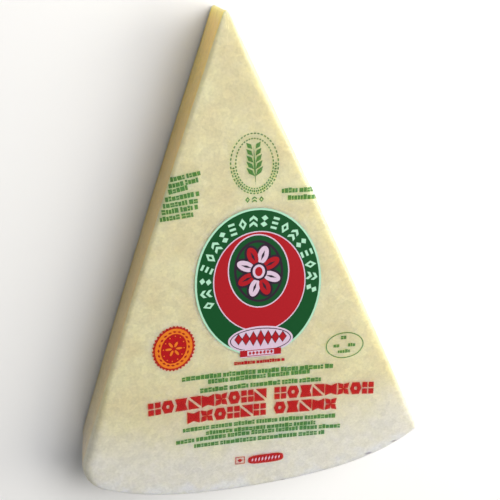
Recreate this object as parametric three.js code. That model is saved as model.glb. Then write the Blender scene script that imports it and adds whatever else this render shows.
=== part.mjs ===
// A wedge of hard sheep's-milk cheese, sealed in a skin-tight clear film and lying on one cut face.
//
// Units are millimetres and +Z is up. The origin is the middle of the underside of the wedge's box.
// The tip points along +Y, the curved rind faces -Y, and the printed face of the pack looks up.
// Wedge and film touch everywhere, so the sealed pack is one closed solid, flat underneath.

import * as THREE from 'three';

// Driving dimensions: the wedge in plan.
const WHEEL_RADIUS = 165; // wheel centre to rind, measured along the middle of the wedge
const HALF_ANGLE = THREE.MathUtils.degToRad(21.94); // between the wedge's middle line and a cut side
const TIP_RADIUS = 1.2; // the blunt tip, seen from above
const LEFT_CORNER_RADIUS = 10.6; // worn corner between the left cut side and the rind
const RIGHT_CORNER_RADIUS = 3.5; // crisp corner between the right cut side and the rind
const SIDE_BULGE = 0.7; // how far a cut side swells out at mid length
const RIND_FLATTENING = 4.8; // how far the rind runs outside the wheel's circle, per squared turn
const RIND_CORNER_DROP = 6.66; // how far it falls back again towards both corners

// Driving dimensions: the wedge in height.
const THICKNESS = 24; // from the face it rests on to the printed face
const CUT_EDGE_RADIUS = 1.6; // rounding of the edges along both cut sides
const RIND_EDGE_RADIUS = 2.4; // rounding of the edges along the rind
const TIP_EDGE_RADIUS = 0.7; // rounding of the edges at the tip
const WORN_EDGE = { extra: 2.4, reach: 24 }; // wider rounding of the upper edge round the left corner
const TIP_BLEND = { start: 2, length: 14 }; // stretch over which the tip's rounding grows to full size
const RIND_BELLY = 0.8; // how far the rind stands proud at half height
const UNEVENNESS = 0.2; // height of the low swells that pressing and cutting leave

// How finely the surface is divided.
const SIDE_STEPS = 20;
const LEFT_CORNER_STEPS = 9;
const RIGHT_CORNER_STEPS = 6;
const RIND_STEPS = 34;
const TIP_STEPS = 6;
const EDGE_STEPS = 3;
const WALL_STEPS = 4;
const FACE_RINGS = [0.88, 0.7, 0.48, 0.24]; // rings of the printed face, as shares of its outline
const CORNER_SEARCH = { from: 0.3, to: 1.2, halvings: 40 }; // range of turns that holds a corner

const CHEESE = new THREE.MeshStandardMaterial({ color: 0xdbd2a6, roughness: 0.62, metalness: 0 });

const smooth = (t) => THREE.MathUtils.smoothstep(t, 0, 1);

// Low swells between -1 and 1 through the wedge: a broad and a shorter wave that cross in plan and
// lean over with height.
function swell(x, y, z) {
  const across = x + z;
  const along = y - z;
  const broad = Math.sin(across / 23 + 0.4) * Math.cos(along / 31 - 1.1);
  const short = Math.sin(across / 13 - along / 17 + 2);
  return (broad + 0.6 * short) / 1.6;
}

// Direction of a cut side away from the tip, and its outward normal; side is -1 on the left, 1 on the right.
function cutSide(side) {
  const sine = Math.sin(HALF_ANGLE);
  const cosine = Math.cos(HALF_ANGLE);
  return {
    along: new THREE.Vector2(side * sine, -cosine),
    normal: new THREE.Vector2(side * cosine, sine),
  };
}

// Point and outward normal of the rind's curve at a turn from -1, at the left cut side, to 1, at the
// right one. Its distance from the wheel's centre is an even polynomial of the turn.
function rindStation(turn) {
  const angle = turn * HALF_ANGLE;
  const reach = WHEEL_RADIUS + RIND_FLATTENING * turn ** 2 - RIND_CORNER_DROP * turn ** 4;
  const slope = (2 * RIND_FLATTENING * turn - 4 * RIND_CORNER_DROP * turn ** 3) / HALF_ANGLE;
  const outward = new THREE.Vector2(Math.sin(angle), -Math.cos(angle));
  const sideways = new THREE.Vector2(Math.cos(angle), Math.sin(angle));
  const normal = outward.clone().multiplyScalar(reach).addScaledVector(sideways, -slope).normalize();
  return { point: outward.multiplyScalar(reach), normal, rind: 1 };
}

// The fillet between a cut side and the rind, found by halving the range of turns until its circle
// touches both: its centre, the turn where it meets the rind, and its distance down the cut side.
function cornerFillet(side, radius) {
  const { along, normal } = cutSide(side);
  let near = CORNER_SEARCH.from;
  let far = CORNER_SEARCH.to;
  let centre;
  for (let halving = 0; halving < CORNER_SEARCH.halvings; halving += 1) {
    const turn = (near + far) / 2;
    const station = rindStation(side * turn);
    centre = station.point.addScaledVector(station.normal, -radius);
    const clearOfSide = -centre.dot(normal) > radius;
    near = clearOfSide ? turn : near;
    far = clearOfSide ? far : turn;
  }
  const turn = side * near;
  return {
    centre, radius, turn, reach: centre.dot(along), onSide: normal, onRind: rindStation(turn).normal,
  };
}

// Points along an arc from one normal round to another, the last one left out. rindAt says how much of
// the rind's form a point has at each share of the arc.
function arcStations(centre, radius, first, last, steps, rindAt) {
  const from = first.angle();
  const to = last.angle() < from ? last.angle() + 2 * Math.PI : last.angle();
  return Array.from({ length: steps }, (_, step) => {
    const share = step / steps;
    const angle = from + (to - from) * share;
    const normal = new THREE.Vector2(Math.cos(angle), Math.sin(angle));
    return { point: centre.clone().addScaledVector(normal, radius), normal, rind: rindAt(share) };
  });
}

// Points down a cut side between two distances from the tip, the last one left out. The side swells out
// as a parabola that is highest at mid length.
function sideStations(side, from, to) {
  const { along, normal } = cutSide(side);
  return Array.from({ length: SIDE_STEPS }, (_, step) => {
    const share = step / SIDE_STEPS;
    const swelling = 4 * SIDE_BULGE * share * (1 - share);
    const point = along.clone().multiplyScalar(from + (to - from) * share);
    return { point: point.addScaledVector(normal, swelling), normal, rind: 0 };
  });
}

// Points along the rind between two turns, the last one left out.
function rindStations(from, to) {
  const turnAt = (step) => from + ((to - from) * step) / RIND_STEPS;
  return Array.from({ length: RIND_STEPS }, (_, step) => rindStation(turnAt(step)));
}

// Gives a point of the outline the radii of the edges below and above it. The upper one is wider round
// a worn place, by a bell curve of the distance from it.
function withEdges(station, wornPlace) {
  const fullEdge = THREE.MathUtils.lerp(CUT_EDGE_RADIUS, RIND_EDGE_RADIUS, station.rind);
  const grown = smooth((station.point.length() - TIP_BLEND.start) / TIP_BLEND.length);
  const lower = THREE.MathUtils.lerp(TIP_EDGE_RADIUS, fullEdge, grown);
  const worn = Math.exp(-((station.point.distanceTo(wornPlace) / WORN_EDGE.reach) ** 2));
  return { ...station, lower, upper: lower + WORN_EDGE.extra * worn * (1 - station.rind) };
}

// The wedge's outline in plan, anticlockwise from the tip: left side, left corner, rind, right corner,
// right side, tip. The wheel's centre is at (0, 0).
function planOutline() {
  const left = cornerFillet(-1, LEFT_CORNER_RADIUS);
  const right = cornerFillet(1, RIGHT_CORNER_RADIUS);
  const tipTangent = TIP_RADIUS / Math.tan(HALF_ANGLE);
  const tipCentre = new THREE.Vector2(0, -TIP_RADIUS / Math.sin(HALF_ANGLE));
  const wornPlace = left.centre.clone().addScaledVector(left.onSide, left.radius);
  return [
    ...sideStations(-1, tipTangent, left.reach),
    ...arcStations(left.centre, left.radius, left.onSide, left.onRind, LEFT_CORNER_STEPS, smooth),
    ...rindStations(left.turn, right.turn),
    ...arcStations(
      right.centre, right.radius, right.onRind, right.onSide,
      RIGHT_CORNER_STEPS, (share) => smooth(1 - share),
    ),
    ...sideStations(1, right.reach, tipTangent),
    ...arcStations(tipCentre, TIP_RADIUS, right.onSide, left.onSide, TIP_STEPS, () => 0),
  ].map((station) => withEdges(station, wornPlace));
}

// The levels of the wedge's upright section, from the rest face up. Each gives, for the radii of the
// lower and upper edge, how far the surface lies inside the outline, its height, and how much of the
// belly and swells it carries.
function sectionLevels() {
  const levels = [];
  for (let step = 0; step <= EDGE_STEPS; step += 1) {
    const angle = (Math.PI / 2) * (step / EDGE_STEPS);
    levels.push((lower) => ({
      inset: lower * (1 - Math.sin(angle)),
      height: lower * (1 - Math.cos(angle)),
      belly: 0,
      top: 0,
    }));
  }
  for (let step = 1; step < WALL_STEPS; step += 1) {
    const share = step / WALL_STEPS;
    levels.push((lower, upper) => ({
      inset: 0,
      height: lower + (THICKNESS - lower - upper) * share,
      belly: Math.sin(Math.PI * share) ** 2,
      top: 0,
    }));
  }
  for (let step = EDGE_STEPS; step >= 0; step -= 1) {
    const angle = (Math.PI / 2) * (step / EDGE_STEPS);
    levels.push((_, upper) => ({
      inset: upper * (1 - Math.sin(angle)),
      height: THICKNESS - upper * (1 - Math.cos(angle)),
      belly: 0,
      top: Math.cos(angle),
    }));
  }
  return levels;
}

// One ring of vertices round the wedge at one level.
function ring(outline, level) {
  return outline.map(({ point, normal, rind, lower, upper }) => {
    const { inset, height, belly, top } = level(lower, upper);
    const wall = belly * (RIND_BELLY * rind + UNEVENNESS * swell(point.x, point.y, height));
    const at = point.clone().addScaledVector(normal, wall - inset - RIND_BELLY * rind);
    return [at.x, at.y, height + top * UNEVENNESS * swell(at.x, at.y, THICKNESS)];
  });
}

// Rings of the printed face, shrinking from its outline to its middle.
function faceRings(outer) {
  const mean = [0, 1].map((axis) => outer.reduce((sum, vertex) => sum + vertex[axis], 0) / outer.length);
  const rings = FACE_RINGS.map((share) => outer.map((vertex) => {
    const x = mean[0] + (vertex[0] - mean[0]) * share;
    const y = mean[1] + (vertex[1] - mean[1]) * share;
    return [x, y, THICKNESS + UNEVENNESS * swell(x, y, THICKNESS)];
  }));
  const middle = [...mean, THICKNESS + UNEVENNESS * swell(...mean, THICKNESS)];
  return { rings, middle };
}

// Skins a closed solid over the rings, with a fan of triangles on the rest face and one in the middle
// of the printed face.
function wedgeGeometry() {
  const outline = planOutline();
  const walls = sectionLevels().map((level) => ring(outline, level));
  const { rings, middle } = faceRings(walls.at(-1));
  const all = [...walls, ...rings];
  const count = outline.length;
  const vertices = [...all.flat(), middle];
  const faces = [];
  for (let level = 0; level < all.length - 1; level += 1) {
    for (let step = 0; step < count; step += 1) {
      const next = (step + 1) % count;
      const low = level * count;
      const high = low + count;
      faces.push([low + step, low + next, high + next], [low + step, high + next, high + step]);
    }
  }
  const last = (all.length - 1) * count;
  for (let step = 0; step < count; step += 1) {
    const next = (step + 1) % count;
    faces.push([last + step, last + next, vertices.length - 1]);
  }
  for (let step = 1; step < count - 1; step += 1) {
    faces.push([0, step + 1, step]);
  }
  const geometry = new THREE.BufferGeometry();
  geometry.setAttribute('position', new THREE.Float32BufferAttribute(vertices.flat(), 3));
  geometry.setIndex(faces.flat());
  return geometry;
}

// Puts the middle of the box's underside at the origin.
function centred(geometry) {
  geometry.computeBoundingBox();
  const { min, max } = geometry.boundingBox;
  geometry.translate(-(min.x + max.x) / 2, -(min.y + max.y) / 2, -min.z);
  geometry.computeVertexNormals();
  return geometry;
}

const wedge = new THREE.Mesh(centred(wedgeGeometry()), CHEESE);
wedge.name = 'wrapped_wedge';

const part = new THREE.Group();
part.add(wedge);

export default part;
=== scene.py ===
"""Looks of a wedge of hard sheep's-milk cheese in a skin-tight, printed clear film.

Sizes are in millimetres until a mesh is made, which is in metres. +Z is up, +Y points to the wedge's
tip and the print reads along +X. The cheese, the film and each ink are pieces of their own.
"""

import logging
import math
from dataclasses import dataclass, field
from enum import Enum
from typing import Protocol

import bpy
import numpy as np
from mathutils import Matrix, Vector


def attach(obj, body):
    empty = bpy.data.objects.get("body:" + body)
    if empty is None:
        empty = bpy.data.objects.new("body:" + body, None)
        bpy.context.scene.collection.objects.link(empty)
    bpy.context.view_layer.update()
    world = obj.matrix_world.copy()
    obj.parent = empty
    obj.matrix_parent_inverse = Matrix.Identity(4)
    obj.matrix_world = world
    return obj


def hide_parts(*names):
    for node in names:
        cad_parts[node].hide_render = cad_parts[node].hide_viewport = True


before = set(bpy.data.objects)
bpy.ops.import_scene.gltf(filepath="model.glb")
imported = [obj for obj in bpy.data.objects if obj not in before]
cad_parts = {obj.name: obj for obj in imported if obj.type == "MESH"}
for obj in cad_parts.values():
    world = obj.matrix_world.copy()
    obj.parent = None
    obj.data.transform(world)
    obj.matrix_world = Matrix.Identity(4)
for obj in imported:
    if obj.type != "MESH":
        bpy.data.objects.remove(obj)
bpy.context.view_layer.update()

LOG = logging.getLogger("wedge")
MM = 0.001
FULL_TURN = 2.0 * math.pi
Array = np.ndarray
Socket = bpy.types.NodeSocket
# A share from 0 to 1, and the colour that it lays on.
Layer = tuple[Socket, object]
NODE = "wrapped_wedge"
BODY = "root"
SHARP_EDGE = math.radians(40.0)
LATTICE_FACTORS = (73856093, 19349663, 83492791)
SEED_FACTOR = 40503
MIXING_FACTOR = 1274126177


class Side(Enum):
    """The two cut sides, by the sign of x."""

    LEFT = -1.0
    RIGHT = 1.0


class Slot(Enum):
    """The record's material slots."""

    CHEESE = "cheese"
    FILM = "clear_film"
    GREEN = "green_ink"
    PALE_GREEN = "pale_green_ink"
    RED = "red_ink"
    PALE = "pale_ink"
    ORANGE = "orange_ink"
    DARK = "dark_ink"


Corners = tuple[tuple[float, float], ...]


def hollow(corners: Corners, share: float) -> tuple[Corners, ...]:
    """Frames a shape of the unit square.

    Args:
        corners: Its corners, anticlockwise.
        share: Size of the opening, as a share of the shape's.

    Returns:
        One four-sided part along each edge.
    """
    inner = tuple((0.5 + (x - 0.5) * share, 0.5 + (y - 0.5) * share) for x, y in corners)
    ahead = corners[1:] + corners[:1]
    inner_ahead = inner[1:] + inner[:1]
    return tuple(zip(corners, ahead, inner_ahead, inner))


class Motif(Enum):
    """Plain shapes for a row of large print, as four-sided parts in a square from (0, 0) to (1, 1)."""

    NUT = hollow(((0.0, 0.5), (0.2, 0.0), (0.8, 0.0), (1.0, 0.5), (0.8, 1.0), (0.2, 1.0)), 0.28)
    FRAME = hollow(((0.5, 0.0), (1.0, 0.5), (0.5, 1.0), (0.0, 0.5)), 0.42)
    STACK = (
        ((0.5, 0.0), (0.95, 0.24), (0.5, 0.48), (0.05, 0.24)),
        ((0.5, 0.52), (0.95, 0.76), (0.5, 1.0), (0.05, 0.76)),
    )
    CHEVRONS = (
        ((0.0, 0.0), (0.5, 0.26), (0.5, 0.52), (0.0, 0.26)),
        ((0.5, 0.26), (1.0, 0.0), (1.0, 0.26), (0.5, 0.52)),
        ((0.0, 0.48), (0.5, 0.74), (0.5, 1.0), (0.0, 0.74)),
        ((0.5, 0.74), (1.0, 0.48), (1.0, 0.74), (0.5, 1.0)),
    )
    CROSSED = (
        ((0.0, 0.0), (0.46, 0.1), (0.5, 0.5), (0.1, 0.46)),
        ((1.0, 0.0), (0.9, 0.46), (0.5, 0.5), (0.54, 0.1)),
        ((1.0, 1.0), (0.54, 0.9), (0.5, 0.5), (0.9, 0.54)),
        ((0.0, 1.0), (0.1, 0.54), (0.5, 0.5), (0.46, 0.9)),
    )
    BARS = (
        ((0.1, 0.0), (0.9, 0.0), (0.9, 0.2), (0.1, 0.2)),
        ((0.1, 0.4), (0.9, 0.4), (0.9, 0.6), (0.1, 0.6)),
        ((0.1, 0.8), (0.9, 0.8), (0.9, 1.0), (0.1, 1.0)),
    )
    HOURGLASS = (
        ((0.0, 0.0), (1.0, 0.0), (0.84, 0.5), (0.16, 0.5)),
        ((0.16, 0.5), (0.84, 0.5), (1.0, 1.0), (0.0, 1.0)),
    )
    BOW = (
        ((0.0, 0.0), (0.5, 0.18), (0.5, 0.82), (0.0, 1.0)),
        ((0.5, 0.18), (1.0, 0.0), (1.0, 1.0), (0.5, 0.82)),
    )
    QUARTERS = (
        ((0.0, 0.0), (0.45, 0.0), (0.45, 0.45), (0.0, 0.45)),
        ((0.55, 0.0), (1.0, 0.0), (1.0, 0.45), (0.55, 0.45)),
        ((0.55, 0.55), (1.0, 0.55), (1.0, 1.0), (0.55, 1.0)),
        ((0.0, 0.55), (0.45, 0.55), (0.45, 1.0), (0.0, 1.0)),
    )
    WEDGES = (
        ((0.0, 0.0), (0.9, 0.0), (0.45, 0.42), (0.0, 0.84)),
        ((1.0, 0.16), (1.0, 1.0), (0.1, 1.0), (0.55, 0.58)),
    )


def smooth(share: Array) -> Array:
    """Eases 0..1 with a cubic, level at both ends: 3 share squared less 2 share cubed."""
    held = np.clip(share, 0.0, 1.0)
    return held * held * (3.0 - 2.0 * held)


def lattice_noise(places: Array, cell: float, seed: int) -> Array:
    """Noise between -1 and 1: random values on a cubic lattice, blended by eased trilinear weights.

    Args:
        places: Points in millimetres, shape (..., 3).
        cell: Side of a lattice cell in millimetres.
        seed: Picks the random values.

    Returns:
        One value for each point.
    """
    scaled = places / cell
    base = np.floor(scaled).astype(np.int64)
    ease = smooth(scaled - base)
    total = np.zeros(places.shape[:-1])
    for corner in np.ndindex(2, 2, 2):
        step = np.array(corner)
        weight = np.prod(np.where(step == 1, ease, 1.0 - ease), axis=-1)
        at = base + step
        across, along, up = (at[..., axis] * factor for axis, factor in enumerate(LATTICE_FACTORS))
        mixed = across ^ along ^ up ^ (seed * SEED_FACTOR)
        mixed = (mixed ^ (mixed >> 13)) * MIXING_FACTOR
        value = ((mixed >> 7) & 0xFFFF) / 32767.5 - 1.0
        total += weight * value
    return total


@dataclass(frozen=True)
class Fillet:
    """The rounding of a plan corner between a cut side and the rind."""

    centre: Array
    radius: float
    turn: float
    reach: float
    on_side: Array
    on_rind: Array


@dataclass(frozen=True)
class Outline:
    """The wedge's plan outline: points, outward normals, share of the rind's form, edge radii."""

    points: Array
    normals: Array
    rind: Array
    lower: Array
    upper: Array


@dataclass(frozen=True)
class SkinDetail:
    """How finely a skin is divided round the outline, over its edges, up its walls and over its faces."""

    side: int = 230
    left_corner: int = 18
    right_corner: int = 9
    rind: int = 170
    tip: int = 8
    edge: int = 5
    wall: int = 16
    top_rings: int = 60
    base_rings: int = 30


@dataclass
class Skin:
    """A closed skin in rings from the middle of the base to the middle of the top.

    places and normals have the shape (rings, stations, 3). from_edge is the distance over the surface
    from the nearer edge, run the distance round the outline, rind the share of the rind's form.
    """

    places: Array
    normals: Array
    from_edge: Array
    run: Array
    rind: Array
    poles: Array

    def mesh(self, name: str, rise: Array) -> bpy.types.Object:
        """Moves each point along its normal and skins the rings with quads and two fans.

        Args:
            name: Name of the new object.
            rise: Distance along the normal in millimetres, shape (rings, stations).

        Returns:
            The new object, smooth shaded.
        """
        moved = self.places + self.normals * rise[..., None]
        rings, stations = rise.shape
        lift = np.array([[0.0, 0.0, -rise[0].mean()], [0.0, 0.0, rise[-1].mean()]])
        vertices = np.concatenate([moved.reshape(-1, 3), self.poles + lift])
        low = (np.arange(rings - 1)[:, None] * stations + np.arange(stations)).ravel()
        turn = (np.arange(rings - 1)[:, None] * stations + (np.arange(stations) + 1) % stations).ravel()
        quads = np.stack([low, turn, turn + stations, low + stations], axis=1)
        first = np.arange(stations)
        after = (first + 1) % stations
        base_pole = rings * stations
        base = np.stack([after, first, np.full(stations, base_pole)], axis=1)
        last = (rings - 1) * stations
        top = np.stack([first + last, after + last, np.full(stations, base_pole + 1)], axis=1)
        return new_piece(name, vertices, quads.tolist() + base.tolist() + top.tolist())


def new_piece(name: str, vertices: Array, faces: list[list[int]]) -> bpy.types.Object:
    """Makes a smooth-shaded object from points in millimetres.

    Args:
        name: Name of the object and its mesh.
        vertices: Points in millimetres, shape (n, 3).
        faces: Vertex indices of each face, anticlockwise from outside.

    Returns:
        The object, at the origin, linked to the scene.
    """
    mesh = bpy.data.meshes.new(name)
    mesh.from_pydata((vertices * MM).tolist(), [], faces)
    mesh.update()
    mesh.polygons.foreach_set("use_smooth", np.ones(len(mesh.polygons), dtype=bool))
    piece = bpy.data.objects.new(name, mesh)
    bpy.context.scene.collection.objects.link(piece)
    return piece


def new_slab(name: str, low: Array, high: Array, faces: Array) -> bpy.types.Object:
    """Makes a closed thin slab: an upper sheet, the same sheet turned over below, and a rim.

    The rim runs along every edge that one face alone has.

    Args:
        name: Name of the object and its mesh.
        low: Points of the lower sheet in millimetres.
        high: Points of the upper sheet.
        faces: Four indices for each face, anticlockwise from above; a triangle has its last one twice.

    Returns:
        The object, smooth over its sheets and sharp round its rims.
    """
    count = len(high)
    starts = faces.ravel()
    ends = np.roll(faces, -1, axis=1).ravel()
    real = starts != ends
    starts, ends = starts[real], ends[real]
    single = ~np.isin(starts * count + ends, ends * count + starts)
    rim = np.stack([ends[single], starts[single], starts[single] + count, ends[single] + count], axis=1)
    triangles = faces[faces[:, 2] == faces[:, 3]][:, :3]
    quads = faces[faces[:, 2] != faces[:, 3]]
    below = (quads[:, ::-1] + count).tolist() + (triangles[:, ::-1] + count).tolist()
    every_face = quads.tolist() + triangles.tolist() + below + rim.tolist()
    piece = new_piece(name, np.concatenate([high, low]), every_face)
    piece.data.set_sharp_from_angle(angle=SHARP_EDGE)
    return piece


@dataclass(frozen=True)
class WedgeForm:
    """The wedge's form: a sector of a wheel with worn corners and rounded edges, in millimetres.

    The working frame has the wheel's centre at (0, 0). centre() moves it to the part's own frame.

    Attributes:
        side_bulge: How far a cut side swells out at its middle.
        rind_flattening: What the rind's distance gains by the square of the turn.
        rind_corner_drop: What it loses by the turn's fourth power.
        cut_edge, rind_edge, tip_edge: Radii of the edges at the cut sides, the rind and the tip.
        tip_blend_start, tip_blend_length: Where the tip's edge radius starts to grow, and over what length.
        worn_extra, worn_reach: How much wider the upper edge is at the worn left corner, and how far on.
        broad_wave, short_wave: Lengths of the swells' waves, a full wave being two pi times as long.
        corner_turns, halvings: The range in which a corner's turn is sought, and how often it is halved.
    """

    wheel_radius: float = 165.0
    half_angle: float = math.radians(21.94)
    tip_radius: float = 1.2
    left_corner: float = 10.6
    right_corner: float = 3.5
    side_bulge: float = 0.7
    rind_flattening: float = 4.8
    rind_corner_drop: float = 6.66
    thickness: float = 24.0
    cut_edge: float = 1.6
    rind_edge: float = 2.4
    tip_edge: float = 0.7
    tip_blend_start: float = 2.0
    tip_blend_length: float = 14.0
    worn_extra: float = 2.4
    worn_reach: float = 24.0
    rind_belly: float = 0.8
    unevenness: float = 0.2
    broad_wave: tuple[float, float] = (23.0, 31.0)
    short_wave: tuple[float, float] = (13.0, 17.0)
    wave_starts: tuple[float, float, float] = (0.4, -1.1, 2.0)
    short_share: float = 0.6
    corner_turns: tuple[float, float] = (0.3, 1.2)
    halvings: int = 40

    @property
    def tip_tangent(self) -> float:
        """Distance from the sharp tip to where the blunt tip's arc meets a cut side."""
        return self.tip_radius / math.tan(self.half_angle)

    def swell(self, places: Array) -> Array:
        """Low swells: a broad sine across times a cosine along, plus a share of a shorter sine.

        Both lean with height, and the sum is divided by the largest value that it could have.

        Args:
            places: Points in millimetres, shape (..., 3).

        Returns:
            A value between -1 and 1 for each point.
        """
        across = places[..., 0] + places[..., 2]
        along = places[..., 1] - places[..., 2]
        start_across, start_along, start_short = self.wave_starts
        crests = np.sin(across / self.broad_wave[0] + start_across)
        broad = crests * np.cos(along / self.broad_wave[1] + start_along)
        short = np.sin(across / self.short_wave[0] - along / self.short_wave[1] + start_short)
        return (broad + self.short_share * short) / (1.0 + self.short_share)

    def along(self, side: Side) -> Array:
        """Unit direction of a cut side, from the tip to the rind."""
        return np.array([side.value * math.sin(self.half_angle), -math.cos(self.half_angle)])

    def outward(self, side: Side) -> Array:
        """Unit normal of a cut side."""
        return np.array([side.value * math.cos(self.half_angle), math.sin(self.half_angle)])

    def rind_curve(self, turn: Array) -> tuple[Array, Array]:
        """The rind in plan: its distance from the wheel's centre is an even polynomial of the turn.

        Args:
            turn: From -1 at the left cut side to 1 at the right one.

        Returns:
            Points and unit outward normals.
        """
        angle = turn * self.half_angle
        reach = self.wheel_radius + self.rind_flattening * turn**2 - self.rind_corner_drop * turn**4
        slope = (2 * self.rind_flattening * turn - 4 * self.rind_corner_drop * turn**3) / self.half_angle
        radial = np.stack([np.sin(angle), -np.cos(angle)], axis=-1)
        sideways = np.stack([np.cos(angle), np.sin(angle)], axis=-1)
        normal = reach[..., None] * radial - slope[..., None] * sideways
        return reach[..., None] * radial, normal / np.linalg.norm(normal, axis=-1, keepdims=True)

    def fillet(self, side: Side) -> Fillet:
        """Finds a corner's rounding by halving the range of turns until its circle touches both lines.

        Args:
            side: The cut side that meets the rind there.

        Returns:
            The corner's rounding.
        """
        radius = self.left_corner if side is Side.LEFT else self.right_corner
        near, far = self.corner_turns
        centre = np.zeros(2)
        for _ in range(self.halvings):
            middle = (near + far) / 2.0
            point, normal = self.rind_curve(np.array(side.value * middle))
            centre = point - radius * normal
            clear = -centre @ self.outward(side) > radius
            near, far = (middle, far) if clear else (near, middle)
        turn = side.value * near
        on_rind = self.rind_curve(np.array(turn))[1]
        return Fillet(centre, radius, turn, float(centre @ self.along(side)), self.outward(side), on_rind)

    def edges_at(self, points: Array, rind: Array) -> tuple[Array, Array]:
        """Radii of the edges at plan points of the outline.

        Both grow from the tip's radius to the side's and the rind's. The upper one is wider round the
        worn left corner, by a bell curve of the distance from the corner's start.

        Args:
            points: Plan points in the frame of the wheel's centre.
            rind: Their share of the rind's form.

        Returns:
            The radii below and above.
        """
        full = self.cut_edge + (self.rind_edge - self.cut_edge) * rind
        grown = smooth((np.linalg.norm(points, axis=-1) - self.tip_blend_start) / self.tip_blend_length)
        lower = self.tip_edge + (full - self.tip_edge) * grown
        corner = self.fillet(Side.LEFT)
        worn_place = corner.centre + corner.radius * corner.on_side
        worn = np.exp(-((np.linalg.norm(points - worn_place, axis=-1) / self.worn_reach) ** 2))
        return lower, lower + self.worn_extra * worn * (1.0 - rind)

    def _side_run(self, side: Side, start: float, end: float, steps: int) -> tuple[Array, Array, Array]:
        """Points down a cut side, which swells out as a parabola; the last point is left out.

        Args:
            side: Which cut side.
            start: Distance from the sharp tip at the first point.
            end: Distance at the point after the last.
            steps: How many points.

        Returns:
            Points, outward normals and shares of the rind's form.
        """
        share = np.arange(steps) / steps
        reach = start + (end - start) * share
        swelling = 4.0 * self.side_bulge * share * (1.0 - share)
        points = reach[:, None] * self.along(side) + swelling[:, None] * self.outward(side)
        return points, np.tile(self.outward(side), (steps, 1)), np.zeros(steps)

    def _arc_run(self, centre: Array, radius: float, first: Array, last: Array, steps: int,
                 rind: tuple[float, float]) -> tuple[Array, Array, Array]:
        """Points round an arc between two normals, with the rind's share eased; the last is left out.

        Args:
            centre: The arc's centre.
            radius: Its radius.
            first: Outward normal at its first point.
            last: Outward normal at the point after its last.
            steps: How many points.
            rind: Share of the rind's form at either end.

        Returns:
            Points, outward normals and shares of the rind's form.
        """
        start = math.atan2(first[1], first[0])
        end = math.atan2(last[1], last[0])
        end += FULL_TURN if end < start else 0.0
        share = np.arange(steps) / steps
        angle = start + (end - start) * share
        normals = np.stack([np.cos(angle), np.sin(angle)], axis=1)
        return centre + radius * normals, normals, rind[0] + (rind[1] - rind[0]) * smooth(share)

    def outline(self, detail: SkinDetail) -> Outline:
        """The plan outline, anticlockwise from the tip: left side, corner, rind, corner, right side, tip.

        Args:
            detail: How many points each stretch has.

        Returns:
            The outline, in the frame of the wheel's centre.
        """
        left, right = self.fillet(Side.LEFT), self.fillet(Side.RIGHT)
        tip = np.array([0.0, -self.tip_radius / math.sin(self.half_angle)])
        turns = left.turn + (right.turn - left.turn) * np.arange(detail.rind) / detail.rind
        rind_points, rind_normals = self.rind_curve(turns)
        left_arc = (left.centre, left.radius, left.on_side, left.on_rind)
        right_arc = (right.centre, right.radius, right.on_rind, right.on_side)
        runs = [
            self._side_run(Side.LEFT, self.tip_tangent, left.reach, detail.side),
            self._arc_run(*left_arc, detail.left_corner, (0, 1)),
            (rind_points, rind_normals, np.ones(detail.rind)),
            self._arc_run(*right_arc, detail.right_corner, (1, 0)),
            self._side_run(Side.RIGHT, right.reach, self.tip_tangent, detail.side),
            self._arc_run(tip, self.tip_radius, right.on_side, left.on_side, detail.tip, (0, 0)),
        ]
        points, normals, rind = (np.concatenate(parts) for parts in zip(*runs))
        return Outline(points, normals, rind, *self.edges_at(points, rind))

    def _walls(self, line: Outline, detail: SkinDetail) -> tuple[Array, Array, Array]:
        """The upright section carried round the outline: lower edge, wall, upper edge.

        Each level stands inset by shares of the two edge radii, at a height of a constant plus shares of
        those radii. Walls carry the rind's belly and the swells, which fade out as the squared sine of
        the height. The upper edge also carries the top's swells, by the cosine of its bend.

        Args:
            line: The plan outline.
            detail: How finely edges and walls are divided.

        Returns:
            Points, their normals, and the height between each point and the nearer face.
        """
        bend = np.linspace(0.0, math.pi / 2.0, detail.edge + 1)
        share = np.arange(1, detail.wall) / detail.wall
        flat, none = np.ones_like(share), np.zeros_like(share)
        nothing = np.zeros_like(bend)
        low_inset = np.concatenate([1 - np.sin(bend), none, nothing])
        high_inset = np.concatenate([nothing, none, 1 - np.sin(bend[::-1])])
        height = np.concatenate([nothing, self.thickness * share, np.full_like(bend, self.thickness)])
        by_lower = np.concatenate([1 - np.cos(bend), 1 - share, nothing])
        by_upper = np.concatenate([nothing, -share, np.cos(bend[::-1]) - 1])
        out = np.concatenate([np.sin(bend), flat, np.sin(bend[::-1])])
        up = np.concatenate([-np.cos(bend), none, np.cos(bend[::-1])])
        belly = np.concatenate([nothing, np.sin(math.pi * share) ** 2, nothing])
        top = np.concatenate([nothing, none, np.cos(bend[::-1])])

        rise = height[:, None] + by_lower[:, None] * line.lower + by_upper[:, None] * line.upper
        plan = np.broadcast_to(line.points, (*rise.shape, 2))
        waves = self.unevenness * self.swell(np.concatenate([plan, rise[..., None]], axis=-1))
        wall = belly[:, None] * (self.rind_belly * line.rind + waves)
        inset = low_inset[:, None] * line.lower + high_inset[:, None] * line.upper
        shift = wall - inset - self.rind_belly * line.rind
        walls = np.concatenate([plan + shift[..., None] * line.normals, rise[..., None]], axis=-1)
        capped = walls * [1.0, 1.0, 0.0] + [0.0, 0.0, self.thickness]
        walls[..., 2] += top[:, None] * self.unevenness * self.swell(capped)
        normals = np.concatenate(
            [out[:, None, None] * line.normals, np.broadcast_to(up[:, None, None], (*rise.shape, 1))], axis=-1
        )
        return walls, normals, np.minimum(rise, self.thickness - rise)

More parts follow.
